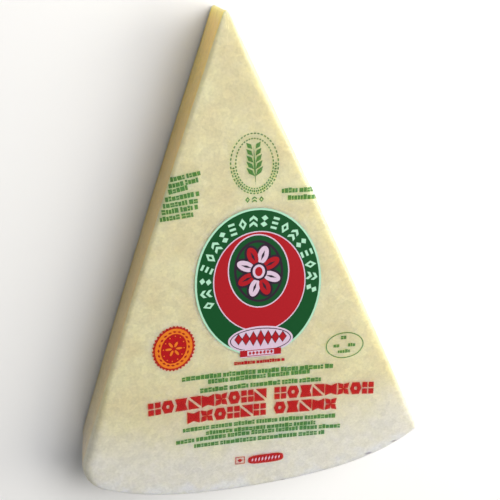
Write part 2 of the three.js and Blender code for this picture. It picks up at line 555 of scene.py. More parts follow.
    def skin(self, detail: SkinDetail) -> Skin:
        """The wedge's whole surface as rings: base, lower edge, wall, upper edge, top.

        The rings of both faces shrink evenly to their mean point. The base is flat, and the top carries
        the swells.

        Args:
            detail: How finely the skin is divided.

        Returns:
            The skin in the part's own frame.
        """
        line = self.outline(detail)
        walls, normals, wall_gap = self._walls(line, detail)
        top_shares = 1.0 - np.arange(1, detail.top_rings) / detail.top_rings
        base_shares = np.arange(1, detail.base_rings) / detail.base_rings
        top_mean, base_mean = walls[-1].mean(axis=0), walls[0].mean(axis=0)
        tops = top_mean + (walls[-1] - top_mean) * top_shares[:, None, None]
        bases = base_mean + (walls[0] - base_mean) * base_shares[:, None, None]
        flat_tops = tops * [1.0, 1.0, 0.0] + [0.0, 0.0, self.thickness]
        tops[..., 2] = self.thickness + self.unevenness * self.swell(flat_tops)
        bases[..., 2] = 0.0
        top_pole = np.array([*top_mean[:2], tops[-1, :, 2].mean()])
        base_pole = np.array([*base_mean[:2], 0.0])
        places = np.concatenate([bases, walls, tops])
        upright = np.array([0.0, 0.0, 1.0])
        all_normals = np.concatenate(
            [np.broadcast_to(-upright, bases.shape), normals, np.broadcast_to(upright, tops.shape)]
        )
        from_edge = np.concatenate([
            np.linalg.norm(bases - walls[0], axis=-1), wall_gap, np.linalg.norm(tops - walls[-1], axis=-1)
        ])
        steps = np.linalg.norm(np.diff(line.points, axis=0, append=line.points[:1]), axis=1)
        run = np.concatenate([[0.0], np.cumsum(steps)[:-1]])
        middle = np.append(self.centre(), 0.0)
        return Skin(places - middle, all_normals, from_edge, run, line.rind,
                    np.stack([base_pole, top_pole]) - middle)

    def centre(self) -> Array:
        """The middle of the outline's box at half height, which is the origin of the part's own frame.

        Returns:
            Its x and y in the frame of the wheel's centre.
        """
        line = self.outline(SkinDetail())
        swells = self.unevenness * self.swell(
            np.concatenate([line.points, np.full((len(line.points), 1), self.thickness / 2)], axis=1)
        )
        widest = line.points + line.normals * swells[:, None]
        return (widest.min(axis=0) + widest.max(axis=0)) / 2.0

    def drape(self, plan: Array, lift: Array) -> Array:
        """Lays plan points on the printed face, and round its edges down the cut sides.

        A point past the start of an edge goes round the edge's arc by its own distance, and then down
        the wall. It is lifted along the surface's normal.

        Args:
            plan: Points in the part's own frame, shape (n, 2).
            lift: Height over the film for each point, shape (n,).

        Returns:
            Points in the part's own frame, shape (n, 3).
        """
        middle = self.centre()
        points = plan + middle
        lower, edge = self.edges_at(points, np.zeros(len(points)))
        height = np.full(len(points), self.thickness)
        normal = np.zeros((len(points), 3))
        facing_up = np.ones(len(points))
        for side in Side:
            outward = self.outward(side)
            reach = points @ self.along(side)
            share = np.clip((reach - self.tip_tangent) / (self.fillet(side).reach - self.tip_tangent), 0, 1)
            line = 4.0 * self.side_bulge * share * (1.0 - share)
            past = points @ outward - (line - edge)
            bend = np.clip(past / edge, 0.0, math.pi / 2.0)
            over = np.maximum(past, 0.0)
            down = np.maximum(past - edge * math.pi / 2.0, 0.0)
            points = points + (edge * np.sin(bend) - over)[:, None] * outward
            height = height - edge * (1.0 - np.cos(bend)) - down
            wall_share = np.clip((self.thickness - edge - height) / (self.thickness - lower - edge), 0, 1)
            waves = self.unevenness * self.swell(np.column_stack([points, height]))
            points = points + (np.sin(math.pi * wall_share) ** 2 * waves)[:, None] * outward
            normal[:, :2] += np.sin(bend)[:, None] * outward
            facing_up = facing_up * np.cos(bend)
        normal[:, 2] = facing_up
        flat = np.column_stack([points, np.full(len(points), self.thickness)])
        height = height + facing_up * self.unevenness * self.swell(flat)
        places = np.column_stack([points - middle, height])
        return places + normal * lift[:, None]


def linear(hex_colour: str) -> tuple[float, float, float, float]:
    """Turns an sRGB hex colour into a linear one by the sRGB curve.

    Args:
        hex_colour: Six hex digits, such as 'd8cea6'.

    Returns:
        Red, green, blue and a full alpha.
    """
    parts = [int(hex_colour[at:at + 2], 16) / 255.0 for at in (0, 2, 4)]
    curve = [part / 12.92 if part <= 0.04045 else ((part + 0.055) / 1.055) ** 2.4 for part in parts]
    return (*curve, 1.0)


def per_mm(size: float) -> float:
    """Noise scale whose cells are about this many millimetres, for Object coordinates in metres."""
    return 1.0 / (size * MM)


class Finish:
    """A material under construction: its node tree, and one method that adds a node."""

    def __init__(self, name: str) -> None:
        """Starts a material with an empty node tree.

        Args:
            name: The real material's name.
        """
        self.material = bpy.data.materials.new(name)
        self.material.use_nodes = True
        self.tree = self.material.node_tree
        self.tree.nodes.clear()

    def add(self, kind: str, settings: dict[str, object] | None = None,
            **sockets: object) -> bpy.types.Node:
        """Adds a node, sets its properties, and sets or links its inputs.

        Args:
            kind: The node's type name.
            settings: Property values by name.
            sockets: Input values or output sockets by input name, with _ for a space; a name such as
                in_0 means the input at that place.

        Returns:
            The new node.
        """
        node = self.tree.nodes.new(kind)
        for name, value in (settings or {}).items():
            setattr(node, name, value)
        for name, value in sockets.items():
            place = int(name[3:]) if name.startswith("in_") else name.replace("_", " ")
            if isinstance(value, bpy.types.NodeSocket):
                self.tree.links.new(value, node.inputs[place])
            else:
                node.inputs[place].default_value = value
        return node

    def finish(self, surface: bpy.types.NodeSocket) -> bpy.types.Material:
        """Links a surface to the output and gives the material back."""
        self.add("ShaderNodeOutputMaterial", Surface=surface)
        return self.material


@dataclass(frozen=True)
class CheesePaste:
    """Hard sheep's-milk cheese, cut with a wire: matt, finely granular, and light passes into it.

    It is straw coloured inside, whiter towards the rind, and the rind itself is a pale, dry grey-white.
    The cut sides carry painted shade: a deeper gold towards the tip that stands for the shade of the left
    side, turned from the lamps, which gets it fully, while the right one gets a small share. At the tip the
    gold is lighter, painted light shining through the thin tip. A few small dark marks on the rind's upper
    edge are ovals that are long in x, about as that edge runs there.
    """

    straw: str = "d9d4b0"
    deep_straw: str = "d3caa5"
    # painted shade and painted light: the gold of the shaded left cut side, and a lighter gold where the tip
    # is lit through
    painted_shade_gold: str = "e2bd58"
    painted_tip_glow: str = "fbda68"
    near_rind: str = "d8d6cc"
    rind: str = "d9dadb"
    # dark grey-violet of a few small marks on the rind's upper edge
    dark_mark: str = "8d8a9c"
    grain_mm: float = 0.85
    fleck_mm: float = 1.9
    blotch_mm: float = 9.0
    depth_mm: float = 6.0
    wheel_radius_mm: float = 165.0
    pale_zone_mm: tuple[float, float] = (34.0, 10.0)
    rind_zone_mm: tuple[float, float] = (7.0, 1.0)
    # painted shade of the cut sides: where it fades towards the rind, where the tip's painted light gives way
    # to it, and the right side's small share
    painted_shade_zone_mm: tuple[float, float] = (20.0, 158.0)
    tip_glow_zone_mm: tuple[float, float] = (5.0, 50.0)
    right_painted_shade: float = 0.15
    mark_height_mm: float = 23.7
    mark_stretch: tuple[float, float, float] = (0.75, 1.9, 1.0)
    wander_mm: float = 16.0
    # how the painted shade fades as the surface tilts, towards the rind, and from the left side to the right
    upright_turn: tuple[float, float] = (0.02, 0.45)
    painted_shade_by_rind: float = 0.4
    side_turn: float = 0.6
    mark_share: float = 0.8
    mark_core: float = 0.2
    blotch_range: tuple[float, float] = (0.35, 0.68)
    grain_range: tuple[float, float] = (0.3, 0.7)
    roughness: float = 0.58
    ior: float = 1.44
    grain_tint: tuple[float, float] = (0.925, 1.06)
    fleck_tint: tuple[float, float] = (0.945, 1.05)
    grain_height_mm: float = 0.12
    depth_by_colour: tuple[float, float, float] = (1.0, 0.93, 0.56)
    dark_marks_mm: tuple[tuple[float, float, float], ...] = (
        (40.8, -74.0, 1.6), (50.4, -70.6, 1.4), (9.0, -79.2, 1.1)
    )

    def build(self, apex_mm: Array) -> bpy.types.Material:
        """Builds the material: colours laid over each other by their shares, then tinted by the grain.

        Args:
            apex_mm: Place of the wheel's centre in the part's own frame, x and y.

        Returns:
            The material.
        """
        cheese = Finish("hard_cheese_paste")
        place = cheese.add("ShaderNodeTexCoord").outputs["Object"]
        reach = self._reach(cheese, place, apex_mm)
        blotch = cheese.add(
            "ShaderNodeTexNoise", Vector=place, Scale=per_mm(self.blotch_mm), Detail=3.0, Roughness=0.55
        ).outputs["Fac"]
        wander = cheese.add(
            "ShaderNodeMath", {"operation": "MULTIPLY_ADD"},
            in_0=blotch, in_1=self.wander_mm * MM, in_2=-self.wander_mm * MM / 2.0,
        ).outputs[0]
        wavy_reach = cheese.add("ShaderNodeMath", {"operation": "ADD"}, in_0=reach, in_1=wander).outputs[0]
        deep = cheese.add(
            "ShaderNodeMapRange", Value=blotch,
            From_Min=self.blotch_range[0], From_Max=self.blotch_range[1],
        ).outputs[0]
        layers = [
            (deep, linear(self.deep_straw)),
            (self._near_rind(cheese, wavy_reach, self.pale_zone_mm), linear(self.near_rind)),
            # painted shade on the cut sides, with painted light at the tip
            self._painted_shade(cheese, reach),
            (self._near_rind(cheese, wavy_reach, self.rind_zone_mm), linear(self.rind)),
            # small dark marks on the rind's upper edge
            *self._dark_marks(cheese, place),
        ]
        paste = linear(self.straw)
        for share, colour in layers:
            paste = cheese.add(
                "ShaderNodeMix", {"data_type": "RGBA"}, in_0=share, in_6=paste, in_7=colour
            ).outputs[2]
        grain, tint = self._grain(cheese, place)
        colour = cheese.add("ShaderNodeVectorMath", {"operation": "SCALE"}, in_0=paste, Scale=tint).outputs[0]
        bump = cheese.add(
            "ShaderNodeBump", Strength=0.35, Distance=self.grain_height_mm * MM, Height=grain
        ).outputs[0]
        shader = cheese.add(
            "ShaderNodeBsdfPrincipled", Base_Color=colour, Roughness=self.roughness, IOR=self.ior,
            Normal=bump, Subsurface_Weight=1.0, Subsurface_Radius=self.depth_by_colour,
            Subsurface_Scale=self.depth_mm * MM,
        )
        return cheese.finish(shader.outputs[0])

    def _reach(self, cheese: Finish, place: Socket, apex_mm: Array) -> Socket:
        """Distance in plan from the wheel's centre.

        Args:
            cheese: The material.
            place: The point shaded.
            apex_mm: Place of the wheel's centre.

        Returns:
            The distance in metres.
        """
        from_centre = cheese.add(
            "ShaderNodeVectorMath", {"operation": "SUBTRACT"},
            in_0=place, in_1=(apex_mm[0] * MM, apex_mm[1] * MM, 0.0),
        ).outputs[0]
        in_plan = cheese.add(
            "ShaderNodeVectorMath", {"operation": "MULTIPLY"}, in_0=from_centre, in_1=(1.0, 1.0, 0.0)
        ).outputs[0]
        return cheese.add("ShaderNodeVectorMath", {"operation": "LENGTH"}, in_0=in_plan).outputs["Value"]

    def _near_rind(self, cheese: Finish, reach: Socket, zone_mm: tuple[float, float]) -> Socket:
        """How far a place is into a zone along the rind.

        Args:
            cheese: The material.
            reach: Distance from the wheel's centre.
            zone_mm: Distances from the rind where the zone starts and where it is full.

        Returns:
            A share from 0 to 1.
        """
        edge = self.wheel_radius_mm * MM
        return cheese.add(
            "ShaderNodeMapRange", {"interpolation_type": "SMOOTHSTEP"}, Value=reach,
            From_Min=edge - zone_mm[0] * MM, From_Max=edge - zone_mm[1] * MM,
        ).outputs[0]

    def _painted_shade(self, cheese: Finish, reach: Socket) -> Layer:
        """Painted shade on the upright cut sides: a gold for the shade of the left side, turned from the
        lamps; less towards the rind, and least on the right side.

        Args:
            cheese: The material.
            reach: Distance from the wheel's centre.

        Returns:
            The share of painted shade and its colour, which is lighter at the tip as painted light through
            the thin tip.
        """
        facing = cheese.add(
            "ShaderNodeSeparateXYZ", Vector=cheese.add("ShaderNodeTexCoord").outputs["Normal"]
        ).outputs
        level = cheese.add("ShaderNodeMath", {"operation": "ABSOLUTE"}, in_0=facing["Z"]).outputs[0]
        by_side = cheese.add(
            "ShaderNodeMapRange", Value=facing["X"], From_Min=-self.side_turn, From_Max=self.side_turn,
            To_Min=1.0, To_Max=self.right_painted_shade,
        ).outputs[0]
        cut_side = cheese.add(
            "ShaderNodeMapRange", {"interpolation_type": "SMOOTHSTEP"}, Value=level,
            From_Min=self.upright_turn[0], From_Max=self.upright_turn[1], To_Min=1.0, To_Max=0.0,
        ).outputs[0]
        towards_tip = cheese.add(
            "ShaderNodeMapRange", Value=reach, From_Min=self.painted_shade_zone_mm[0] * MM,
            From_Max=self.painted_shade_zone_mm[1] * MM, To_Min=1.0, To_Max=self.painted_shade_by_rind,
        ).outputs[0]
        upright = cheese.add(
            "ShaderNodeMath", {"operation": "MULTIPLY"}, in_0=cut_side, in_1=towards_tip
        ).outputs[0]
        # share of painted shade: full on the left side, which the lamps don't reach, small on the right
        painted_shade_share = cheese.add(
            "ShaderNodeMath", {"operation": "MULTIPLY"}, in_0=upright, in_1=by_side
        ).outputs[0]
        off_tip = cheese.add(
            "ShaderNodeMapRange", Value=reach, From_Min=self.tip_glow_zone_mm[0] * MM,
            From_Max=self.tip_glow_zone_mm[1] * MM,
        ).outputs[0]
        # painted shade colour, lighter at the tip as painted light through the thin tip
        painted_shade_colour = cheese.add(
            "ShaderNodeMix", {"data_type": "RGBA"}, in_0=off_tip,
            in_6=linear(self.painted_tip_glow), in_7=linear(self.painted_shade_gold),
        ).outputs[2]
        return painted_shade_share, painted_shade_colour

    def _dark_marks(self, cheese: Finish, place: Socket) -> list[Layer]:
        """The small dark marks on the rind's upper edge, each fading out from its middle.

        Args:
            cheese: The material.
            place: The point shaded.

        Returns:
            The share and colour of each.
        """
        layers = []
        for x, y, half in self.dark_marks_mm:
            offset = cheese.add(
                "ShaderNodeVectorMath", {"operation": "SUBTRACT"},
                in_0=place, in_1=(x * MM, y * MM, self.mark_height_mm * MM),
            ).outputs[0]
            stretched = cheese.add(
                "ShaderNodeVectorMath", {"operation": "MULTIPLY"}, in_0=offset, in_1=self.mark_stretch
            ).outputs[0]
            away = cheese.add(
                "ShaderNodeVectorMath", {"operation": "LENGTH"}, in_0=stretched
            ).outputs["Value"]
            marked = cheese.add(
                "ShaderNodeMapRange", {"interpolation_type": "SMOOTHSTEP"}, Value=away,
                From_Min=self.mark_core * half * MM, From_Max=half * MM,
                To_Min=self.mark_share, To_Max=0.0,
            ).outputs[0]
            layers.append((marked, linear(self.dark_mark)))
        return layers

    def _grain(self, cheese: Finish, place: Socket) -> tuple[Socket, Socket]:
        """The fine grain of the paste, and its flecks, each of one tone.

        Args:
            cheese: The material.
            place: The point shaded.

        Returns:
            The grain, and the tint that grain and flecks give the colour.
        """
        grain = cheese.add(
            "ShaderNodeTexNoise", Vector=place, Scale=per_mm(self.grain_mm), Detail=2.0, Roughness=0.6
        ).outputs["Fac"]
        fleck = cheese.add(
            "ShaderNodeTexVoronoi", {"feature": "F1"}, Vector=place, Scale=per_mm(self.fleck_mm)
        ).outputs["Color"]
        grain_tint = cheese.add(
            "ShaderNodeMapRange", Value=grain, From_Min=self.grain_range[0], From_Max=self.grain_range[1],
            To_Min=self.grain_tint[0], To_Max=self.grain_tint[1],
        ).outputs[0]
        tone = cheese.add("ShaderNodeSeparateColor", Color=fleck).outputs["Red"]
        fleck_tint = cheese.add(
            "ShaderNodeMapRange", Value=tone, From_Min=0.0, From_Max=1.0,
            To_Min=self.fleck_tint[0], To_Max=self.fleck_tint[1],
        ).outputs[0]
        tint = cheese.add(
            "ShaderNodeMath", {"operation": "MULTIPLY"}, in_0=grain_tint, in_1=fleck_tint
        ).outputs[0]
        return grain, tint


@dataclass(frozen=True)
class ShrinkFilm:
    """Clear multilayer shrink film: thin, colourless, with a soft gloss broken by tiny ripples."""

    gloss: str = "ffffff"
    head_on: float = 0.034
    grazing: float = 0.26
    roughness: float = 0.2
    ripple_mm: float = 2.4
    fine_mm: float = 0.5

    def build(self) -> bpy.types.Material:
        """Builds the material: clear, under a reflection that Schlick's rule weighs by the slant.

        The rule is the same from inside, so lamps reach the cheese at every angle.

        Returns:
            The material.
        """
        film = Finish("clear_shrink_film")
        place = film.add("ShaderNodeTexCoord").outputs["Object"]
        ripple = film.add(
            "ShaderNodeTexNoise", Vector=place, Scale=per_mm(self.ripple_mm), Detail=2.0
        ).outputs["Fac"]
        fine = film.add(
            "ShaderNodeTexNoise", Vector=place, Scale=per_mm(self.fine_mm), Detail=1.0
        ).outputs["Fac"]
        soft = film.add("ShaderNodeBump", Strength=0.3, Distance=0.25 * MM, Height=ripple).outputs[0]
        bump = film.add(
            "ShaderNodeBump", Strength=0.25, Distance=0.05 * MM, Height=fine, Normal=soft
        ).outputs[0]
        clear = film.add("ShaderNodeBsdfTransparent", Color=(1.0, 1.0, 1.0, 1.0)).outputs[0]
        gloss = film.add(
            "ShaderNodeBsdfGlossy", Color=linear(self.gloss), Roughness=self.roughness, Normal=bump
        ).outputs[0]
        slant = film.add("ShaderNodeLayerWeight", Blend=0.5, Normal=bump).outputs["Facing"]
        rising = film.add("ShaderNodeMath", {"operation": "POWER"}, in_0=slant, in_1=5.0).outputs[0]
        share = film.add(
            "ShaderNodeMath", {"operation": "MULTIPLY_ADD"},
            in_0=rising, in_1=self.grazing - self.head_on, in_2=self.head_on,
        ).outputs[0]
        return film.finish(film.add("ShaderNodeMixShader", in_0=share, in_1=clear, in_2=gloss).outputs[0])


@dataclass(frozen=True)
class FilmInk:
    """Flexographic printing ink on film: thin, even, satin, with a faint mottle from the plate.

    An unbacked ink lets a share of the light through and stains it, so the cheese shows through it. The
    clear share and the stain are those of one sheet, and light crosses a slab's two sheets each way.
    """

    name: str
    colour: str
    clear: float = 0.0
    stain: str = "ffffff"
    mottle: float = 0.05
    grain_mm: float = 0.6

    def build(self) -> bpy.types.Material:
        """Builds the material: the ink's surface, mixed with a stained clear one by its clear share.

        Returns:
            The material.
        """
        ink = Finish(self.name)
        place = ink.add("ShaderNodeTexCoord").outputs["Object"]
        grain = ink.add(
            "ShaderNodeTexNoise", Vector=place, Scale=per_mm(self.grain_mm), Detail=2.0, Roughness=0.6
        ).outputs["Fac"]
        tint = ink.add("ShaderNodeMapRange", Value=grain, From_Min=0.3, From_Max=0.7,
                       To_Min=1.0 - self.mottle, To_Max=1.0 + self.mottle).outputs[0]
        colour = ink.add(
            "ShaderNodeVectorMath", {"operation": "SCALE"}, in_0=linear(self.colour)[:3], Scale=tint
        ).outputs[0]
        bump = ink.add("ShaderNodeBump", Strength=0.2, Distance=0.04 * MM, Height=grain).outputs[0]
        shader = ink.add("ShaderNodeBsdfPrincipled", Base_Color=colour, Roughness=0.38, IOR=1.48, Normal=bump)
        if not self.clear:
            return ink.finish(shader.outputs[0])
        through = ink.add("ShaderNodeBsdfTransparent", Color=linear(self.stain)).outputs[0]
        mixed = ink.add("ShaderNodeMixShader", in_0=self.clear, in_1=shader.outputs[0], in_2=through)
        return ink.finish(mixed.outputs[0])


class Ink(Enum):
    """The printing inks, each with its piece's name, its slot and its finish."""

    GREEN = ("print_green", Slot.GREEN, FilmInk("dark_green_ink", "054a20"))
    SMALL_GREEN = ("print_small_green", Slot.GREEN, FilmInk("mid_green_ink", "4a8f52", 0.87, "c4e2ca"))
    PALE_GREEN = ("print_pale_green", Slot.PALE_GREEN, FilmInk("pale_green_ink", "a8d8bc"))
    RED = ("print_red", Slot.RED, FilmInk("red_ink", "b41a25", 0.2, "f09090"))
    BRIGHT_RED = ("print_bright_red", Slot.RED, FilmInk("bright_red_ink", "c4222c", 0.58, "fbb0b2"))
    PALE = ("print_pale", Slot.PALE, FilmInk("pale_pink_ink", "d0bacf"))
    ORANGE = ("print_orange", Slot.ORANGE, FilmInk("orange_ink", "da791c"))
    DARK = ("print_dark", Slot.DARK, FilmInk("dark_ink", "2a1a2c"))


def dress(piece: bpy.types.Object, material: bpy.types.Material) -> bpy.types.Object:
    """Gives a piece its material, and makes it ride on the wedge's body.

    Args:
        piece: The piece.
        material: Its material.

    Returns:
        The same piece.
    """
    piece.data.materials.append(material)
    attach(piece, BODY)
    LOG.info("%s: %d faces", piece.name, len(piece.data.polygons))
    return piece


@dataclass
class Cheese:
    """The wedge of cheese inside its film."""

    form: WedgeForm
    finish: CheesePaste = CheesePaste()
    detail: SkinDetail = SkinDetail()
    under_film: float = 0.12
    curd_mm: float = 4.5
    curd_depth: float = 0.07
    crumb_mm: float = 1.6
    crumb_depth: float = 0.05
    rind_mm: float = 2.2
    rind_depth: float = 0.16

    def build(self) -> bpy.types.Object:
        """Sinks the form's skin under the film by two sizes of curd noise, and by a third on the rind.

        Returns:
            The piece.
        """
        skin = self.form.skin(self.detail)
        curd = 0.5 + 0.5 * lattice_noise(skin.places, self.curd_mm, 3)
        crumb = 0.5 + 0.5 * lattice_noise(skin.places, self.crumb_mm, 7)
        rough = 0.5 + 0.5 * lattice_noise(skin.places, self.rind_mm, 11)
        on_wall = 1.0 - np.abs(skin.normals[..., 2])
        on_rind = on_wall * skin.rind
        sunk = self.curd_depth * curd + self.crumb_depth * crumb + self.rind_depth * on_rind * rough
        piece = skin.mesh("cheese_wedge", -self.under_film - sunk)
        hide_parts(NODE)
        return dress(piece, self.finish.build(-self.form.centre()))


@dataclass
class Film:
    """The skin of clear film, with puckers where it gathers at the tip and the two rind corners."""

    form: WedgeForm
    finish: ShrinkFilm = ShrinkFilm()
    detail: SkinDetail = SkinDetail(edge=6, wall=20, top_rings=14, base_rings=8)
    pucker_height: float = 0.22
    pucker_pitch: float = 2.6
    pucker_reach: float = 5.0
    gather_width: float = 9.0
    jitter: float = 1.3
    jitter_cell: float = 6.0
    base_fade: float = 2.0

    def build(self) -> bpy.types.Object:
        """Raises the form's skin in ridges that run over the edges and die away from the corners.

        A ridge is the cube of a raised cosine of the distance round the outline. Its height falls off as
        a bell curve with the distance from the corner, and as another with the distance from the edge.

        Returns:
            The piece.
        """
        skin = self.form.skin(self.detail)
        length = skin.run[-1] + (skin.run[1] - skin.run[0])
        onto_rind = skin.run[np.argmax(skin.rind > 0.5)]
        off_rind = skin.run[len(skin.rind) - 1 - np.argmax(skin.rind[::-1] > 0.5)]
        gaps = [np.abs(skin.run - at) for at in (0.0, onto_rind, off_rind)]
        nearest = np.min([np.minimum(gap, length - gap) for gap in gaps], axis=0)
        gather = np.exp(-((nearest / self.gather_width) ** 2))
        jitter = self.jitter * lattice_noise(skin.places, self.jitter_cell, 21)
        ridge = (0.5 + 0.5 * np.cos(FULL_TURN * skin.run / self.pucker_pitch + jitter)) ** 3
        at_edge = np.exp(-((skin.from_edge / self.pucker_reach) ** 2))
        not_base = smooth(skin.places[..., 2] / self.base_fade)
        rise = self.pucker_height * gather * ridge * at_edge * not_base
        piece = skin.mesh("clear_film", rise)
        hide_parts(NODE)
        return dress(piece, self.finish.build())


def heading(angle: float) -> Array:
    """Unit vector in plan at an angle in radians from +X."""
    return np.array([math.cos(angle), math.sin(angle)])


def left_of(direction: Array) -> Array:
    """The direction turned a quarter turn anticlockwise."""
    return np.array([-direction[1], direction[0]])


def round_steps(count: int, start: float = 0.0) -> Array:
    """Angles of even steps round a circle, the first one at a share of a step."""
    return (np.arange(count) + start) / count * FULL_TURN


@dataclass
class Patches:
    """Flat printed shapes of one ink, as grids of plan points that are later laid on the film."""

    points: list[Array] = field(default_factory=list)
    layers: list[Array] = field(default_factory=list)
    faces: list[Array] = field(default_factory=list)
    count: int = 0

    def grid(self, plan: Array, layer: int, closed: bool = False) -> None:
        """Adds a grid of points with quads between them, anticlockwise seen from above.

        Args:
            plan: Plan points, shape (rows, columns, 2), with the rows from the top down.
            layer: How many inks lie under this one.
            closed: Whether the last column joins the first.
        """
        rows, columns = plan.shape[:2]
        across = np.arange(columns if closed else columns - 1)
        low = (np.arange(rows - 1)[:, None] * columns + across).ravel()
        side = (np.arange(rows - 1)[:, None] * columns + (across + 1) % columns).ravel()
        self._keep(plan.reshape(-1, 2), np.stack([low, low + columns, side + columns, side], axis=1), layer)

    def _keep(self, points: Array, faces: Array, layer: int) -> None:
        """Stores a shape.

        Args:
            points: Its plan points.
            faces: Four indices for each face, from 0.
            layer: How many inks lie under it.
        """
        self.points.append(points)
        self.faces.append(faces + self.count)
        self.layers.append(np.full(len(points), float(layer)))
        self.count += len(points)

    def quad(self, corners: Array, layer: int, across: int = 3, up: int = 2) -> None:
        """Adds a four-sided shape, a blend of its corners both ways.

        Args:
            corners: Its corners, anticlockwise from the lower left.
            layer: How many inks lie under it.
            across: Into how many columns it is divided.
            up: Into how many rows.
        """
        u = np.linspace(0.0, 1.0, across + 1)[None, :, None]
        v = np.linspace(1.0, 0.0, up + 1)[:, None, None]
        low = corners[0] * (1 - u) + corners[1] * u
        high = corners[3] * (1 - u) + corners[2] * u
        self.grid(low * (1 - v) + high * v, layer)

    def band(self, inner: Array, outer: Array, layer: int, rows: int = 1) -> None:
        """Adds the band between two closed lines, a blend from one to the other.

        Args:
            inner: The inner line.
            outer: The outer line, with as many points.
            layer: How many inks lie under it.
            rows: Into how many rings it is divided.
        """
        share = np.linspace(0.0, 1.0, rows + 1)[:, None, None]
        self.grid(inner * (1 - share) + outer * share, layer, closed=True)

    def blob(self, line: Array, layer: int, rows: int = 2) -> None:
        """Fills a closed line with rings that shrink to its middle, and a fan of triangles there.

        Args:
            line: The line, anticlockwise.
            layer: How many inks lie under it.
            rows: How many rings.
        """
        pole = line.mean(axis=0)
        share = np.linspace(1.0 / rows, 1.0, rows)[:, None, None]
        rings = pole + (line - pole) * share
        count = len(line)
        ring = np.arange(count)
        after = (ring + 1) % count
        steps = np.arange(rows - 1)[:, None] * count
        low, side = (steps + ring).ravel(), (steps + after).ravel()
        quads = np.stack([low, low + count, side + count, side], axis=1)
        middle = np.full(count, rows * count)
        fan = np.stack([middle, ring, after, after], axis=1)
        self._keep(np.concatenate([rings.reshape(-1, 2), pole[None]]), np.concatenate([quads, fan]), layer)


@dataclass(frozen=True)
class Oval:
    """An ellipse in plan: centre, half width, half height, turn in degrees, in millimetres."""

    x: float
    y: float
    half_width: float
    half_height: float
    turn: float = 0.0

    @property
    def middle(self) -> Array:
        """Its centre."""
        return np.array([self.x, self.y])

    def at(self, angle: Array, grow: float = 0.0, power: float = 1.0) -> Array:
        """Points on the oval, grown by a width all round.

        Args:
            angle: Angles in radians, anticlockwise from its own x axis.
            grow: Width in millimetres.
            power: Power of the sine and cosine; under 1 the oval grows squarer.

        Returns:
            Plan points, shape (n, 2).
        """
        round_trip = np.stack([np.cos(angle), np.sin(angle)], axis=-1)
        shaped = np.sign(round_trip) * np.abs(round_trip) ** power
        flat = shaped * [self.half_width + grow, self.half_height + grow]
        tilt = math.radians(self.turn)
        turned = np.array([[math.cos(tilt), math.sin(tilt)], [-math.sin(tilt), math.cos(tilt)]])
        return flat @ turned + self.middle

    def line(self, grow: float = 0.0, points: int = 72, power: float = 1.0) -> Array:
        """Its outline, anticlockwise, grown by a width all round."""
        return self.at(round_steps(points), grow, power)


@dataclass(frozen=True)
class Row:
    """A line of print, in millimetres: from its start to its end along the middle of its height.

    Between them it bends up as a parabola, by the bend at its middle.
    """

    start: tuple[float, float]
    end: tuple[float, float]
    height: float
    bend: float = 0.0

    def frame(self) -> tuple[Array, Array, Array, float]:
        """The row's own frame.

        Returns:
            Its start at the foot of its height, its direction, its upward direction, and its length.
        """
        start, end = np.array(self.start), np.array(self.end)
        length = float(np.linalg.norm(end - start))
        along = (end - start) / length
        up = left_of(along)
        return start - up * self.height / 2.0, along, up, length

    def corners(self, left: float, right: float, low: float, high: float) -> Array:
        """Corners of a block, anticlockwise from its lower left.

        Args:
            left: Distance along the row where it starts.
            right: Where it ends.
            low: Height of its foot over the row's.
            high: Height of its head.

        Returns:
            Plan points, shape (4, 2).
        """
        foot, along, up, length = self.frame()
        u = np.array([left, right, right, left])
        v = np.array([low, low, high, high])
        bent = v + 4.0 * self.bend * (u / length) * (1.0 - u / length)
        return foot + u[:, None] * along + bent[:, None] * up


@dataclass(frozen=True)
class SmallPrint:
    """Runs of tiny bars like print too small to read, with no ink under them.

    Widths, heights and gaps are shares of a row's height, and split those of a bar's own height.
    """

    run_lengths: tuple[int, int] = (4, 11)
    widths: tuple[float, float] = (0.4, 0.85)
    heights: tuple[float, ...] = (0.84, 0.92, 1.0)
    height_chances: tuple[float, ...] = (0.45, 0.3, 0.25)
    split_chance: float = 0.3
    split: tuple[float, float] = (0.45, 0.55)
    bar_gap: float = 0.1
    run_gap: float = 0.26
    least_rest: float = 0.6

    def fill(self, patches: Patches, row: Row, seed: int) -> None:
        """Fills a row with bars, each whole or split across.

        Args:
            patches: The ink's patches.
            row: Where the row runs, and how high its tall bars are.
            seed: Picks the runs and the bars' sizes.
        """
        draw = np.random.default_rng(seed)
        length = row.frame()[3]
        at = 0.0
        while at < length - self.least_rest * row.height:
            for _ in range(int(draw.integers(*self.run_lengths))):
                width = row.height * float(draw.uniform(*self.widths))
                if at + width > length:
                    break
                tall = row.height * float(draw.choice(self.heights, p=self.height_chances))
                if draw.random() < self.split_chance:
                    foot, head = self.split[0] * tall, self.split[1] * tall
                    patches.quad(row.corners(at, at + width, 0.0, foot), 0, across=2, up=1)
                    patches.quad(row.corners(at, at + width, head, tall), 0, across=2, up=1)
                else:
                    patches.quad(row.corners(at, at + width, 0.0, tall), 0, across=2, up=2)
                at += width + self.bar_gap * row.height
            at += row.height * self.run_gap


